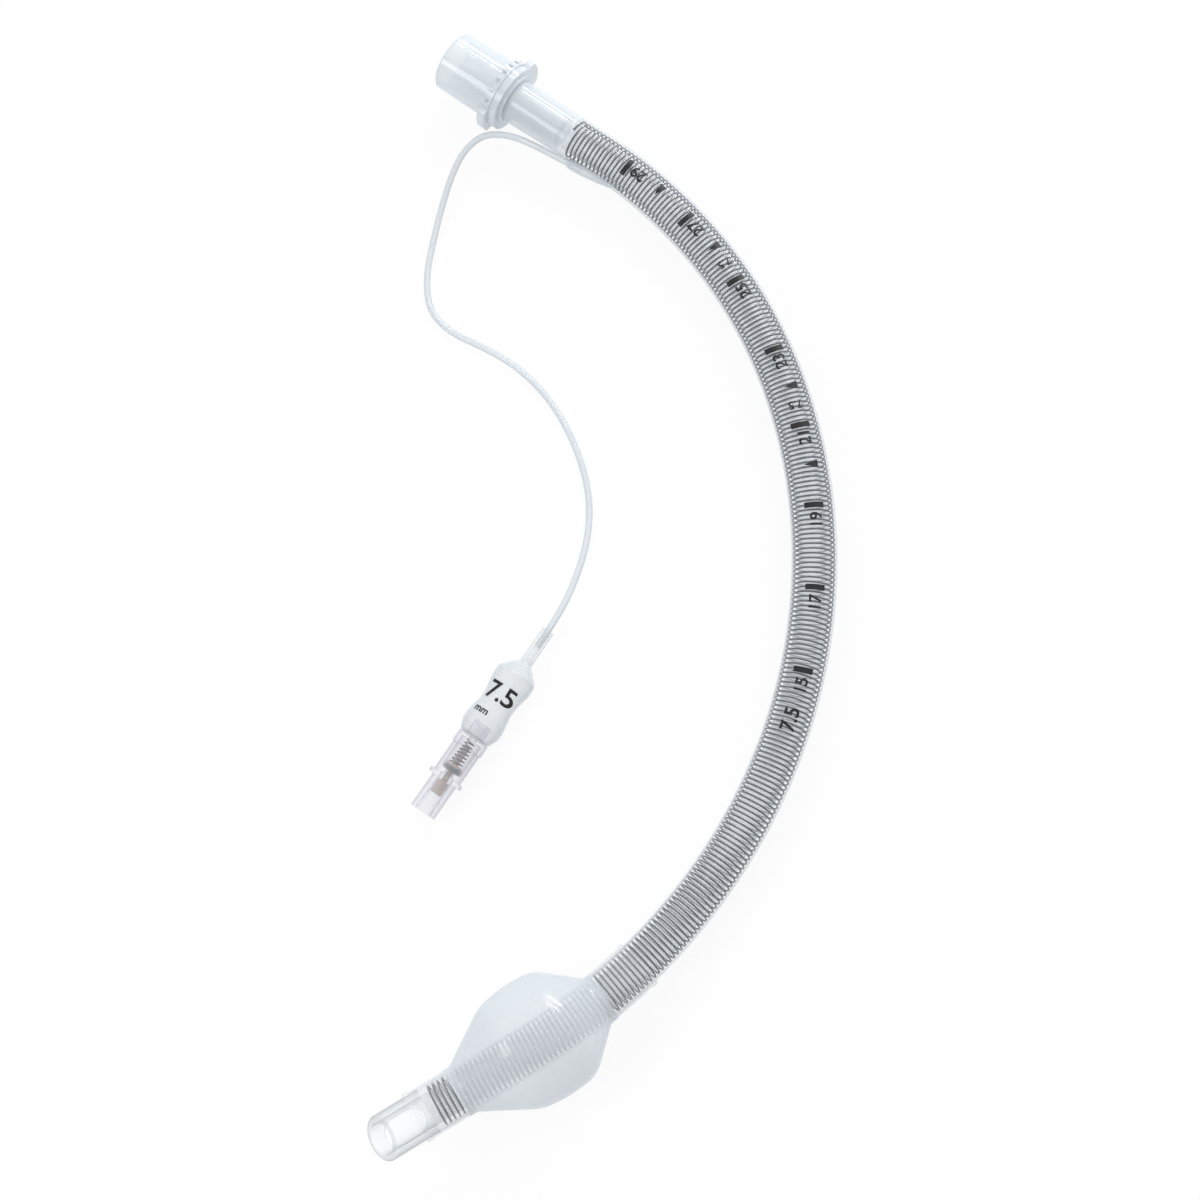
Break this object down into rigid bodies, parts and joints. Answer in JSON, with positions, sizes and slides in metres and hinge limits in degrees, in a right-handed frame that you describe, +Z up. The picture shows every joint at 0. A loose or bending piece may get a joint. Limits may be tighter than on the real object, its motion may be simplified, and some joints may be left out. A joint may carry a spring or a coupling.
{
  "type": "endotracheal tube",
  "caption": "Reinforced cuffed endotracheal tube with 15 mm connector, bevel tip, inflation line, pilot balloon and spring check valve.",
  "frame": {"origin": "on the table the tube lies on, under the middle of the outline of the tube, without its inflation line and valve", "axes": "+Z up from the table; the connector is at +Y and the tip at -Y, with the outside of the bend at +X"},
  "size_m": [0.1052, 0.2742, 0.0282],
  "materials": {
    "connector_plastic": "milky translucent moulded plastic",
    "clear_tube": "clear soft PVC",
    "steel_wire": "bare steel wire",
    "cuff_film": "thin frosted film",
    "line_plastic": "clear soft PVC",
    "balloon_film": "milky soft film",
    "valve_clear": "clear hard plastic",
    "plunger_plastic": "tan moulded plastic",
    "seal_rubber": "dark rubber",
    "spring_steel": "steel spring wire"
  },
  "bodies": {
    "root": {"connector": "connector_plastic", "tube_wall": "clear_tube", "reinforcing_coil": "steel_wire", "bevel_tip": "clear_tube", "cuff": "cuff_film", "inflation_line": "line_plastic", "pilot_balloon": "balloon_film", "valve_insert": "valve_clear", "valve_body": "valve_clear", "valve_spring": "spring_steel"},
    "plunger": {"valve_plunger": "plunger_plastic", "valve_seal": "seal_rubber"}
  },
  "joints": [
    {"name": "valve_push", "type": "slide", "parent": "root", "child": "plunger", "axis": [0.5592, 0.829, 0], "range_m": [0, 0.0015], "stiffness_N_per_m": 200, "springref_m": -0.002, "deforming": ["valve_spring"]}
  ]
}
